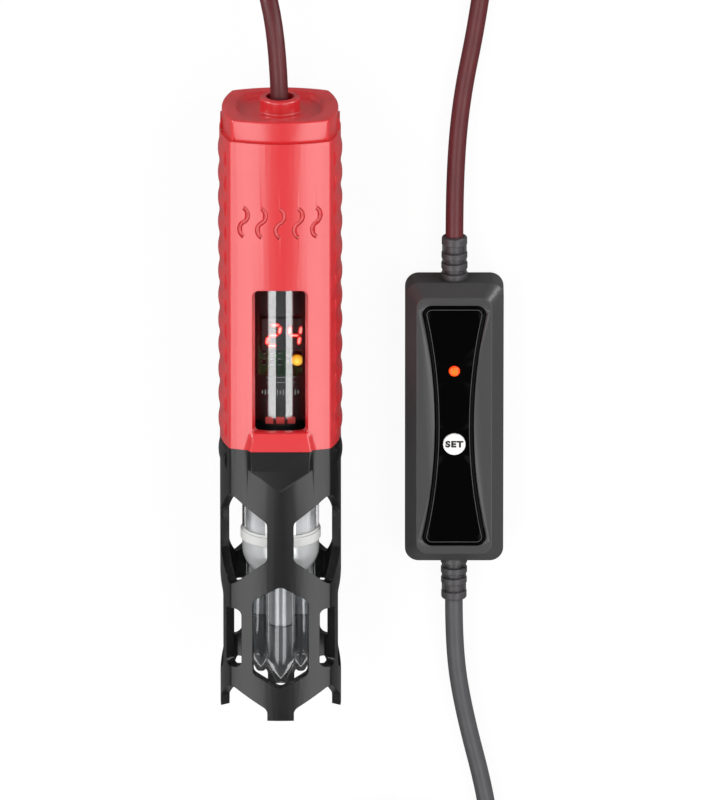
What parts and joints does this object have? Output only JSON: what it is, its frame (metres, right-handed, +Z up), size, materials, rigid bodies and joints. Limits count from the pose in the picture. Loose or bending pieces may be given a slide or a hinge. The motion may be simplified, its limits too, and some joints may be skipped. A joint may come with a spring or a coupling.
{
  "type": "aquarium heater with controller",
  "caption": "Submersible aquarium heater: red square casing with display window, black hexagon guard over glass heating tubes, suction cups, and an inline controller on its lead.",
  "frame": {"origin": "on the table, below the middle of the heater and its controller", "axes": "+X from the heater towards the controller, +Y along the heater towards its cap, +Z up from the table"},
  "size_m": [0.1295, 0.593, 0.0625],
  "materials": {
    "red_abs": "satin moulded ABS",
    "black_abs": "fine satin moulded",
    "case_abs": "fine satin moulded",
    "panel_film": "high gloss",
    "white_abs": "satin",
    "clear_glass": "clear",
    "quartz": "clear",
    "ceramic": "glazed",
    "core": "wound and sintered",
    "black_rubber": "matte",
    "clear_rubber": "soft translucent",
    "flex_red": "satin sheath",
    "flex_grey": "satin sheath",
    "circuit": "solder mask",
    "part_black": "moulded",
    "part_blue": "moulded",
    "part_yellow": "moulded",
    "led_lit": "lit",
    "led_amber": "lit",
    "led_orange": "lit",
    "card": "printed card",
    "steel": "zinc plated",
    "brass_pins": "plated",
    "wire": "silicone sleeve"
  },
  "bodies": {
    "heater": {"board_fuse": "clear_glass", "case_screws": "steel", "centring_ring_lower": "black_rubber", "centring_ring_upper": "black_rubber", "control_board": "circuit", "control_chip": "part_black", "controller_back_shell": "case_abs", "controller_front_shell": "case_abs", "display_board": "circuit", "display_digits": "led_lit", "display_tube": "clear_glass", "element_wires": "wire", "face_panel": "panel_film", "film_capacitor": "part_yellow", "gland_lower": "flex_grey", "gland_upper": "flex_red", "guard_cage": "black_abs", "head_seal": "black_rubber", "heater_lead_coil": "flex_red", "heater_lead_end": "flex_red", "heater_lead_start": "flex_red", "heater_lead_tie": "black_rubber", "heating_core_front": "core", "heating_core_left": "core", "heating_core_right": "core", "heating_led": "led_amber", "heating_tube_front": "quartz", "heating_tube_left": "quartz", "heating_tube_right": "quartz", "label_card": "card", "led_display": "part_black", "lower_head": "ceramic", "mains_lead_coil": "flex_grey", "mains_lead_end": "flex_grey", "mains_lead_start": "flex_grey", "mains_lead_tie": "black_rubber", "plug_body": "part_black", "plug_boot": "part_black", "plug_pins": "brass_pins", "power_led": "led_orange", "relay": "part_blue", "sleeve": "red_abs", "supply_capacitor": "part_black", "tactile_switch": "steel", "temperature_probe": "steel", "terminal_lower": "part_blue", "terminal_upper": "part_blue", "thermal_fuse": "steel", "top_cap": "red_abs", "tube_stopper": "black_rubber"},
    "button": {"set_button": "white_abs", "switch_plunger": "part_black"},
    "upper_cup": {"suction_cup_upper": "clear_rubber"},
    "lower_cup": {"suction_cup_lower": "clear_rubber"}
  },
  "joints": [
    {"name": "set_button_press", "type": "slide", "parent": "heater", "child": "button", "axis": [0, 0, -1], "range_m": [0, 0.0006], "stiffness_N_per_m": 400},
    {"name": "upper_cup_swivel", "type": "hinge", "parent": "heater", "child": "upper_cup", "pos_m": [-0.0325, 0.08825, 0.006], "axis": [0, 0, 1], "continuous": true},
    {"name": "lower_cup_swivel", "type": "hinge", "parent": "heater", "child": "lower_cup", "pos_m": [-0.0325, 0.00025, 0.006], "axis": [0, 0, 1], "continuous": true}
  ]
}
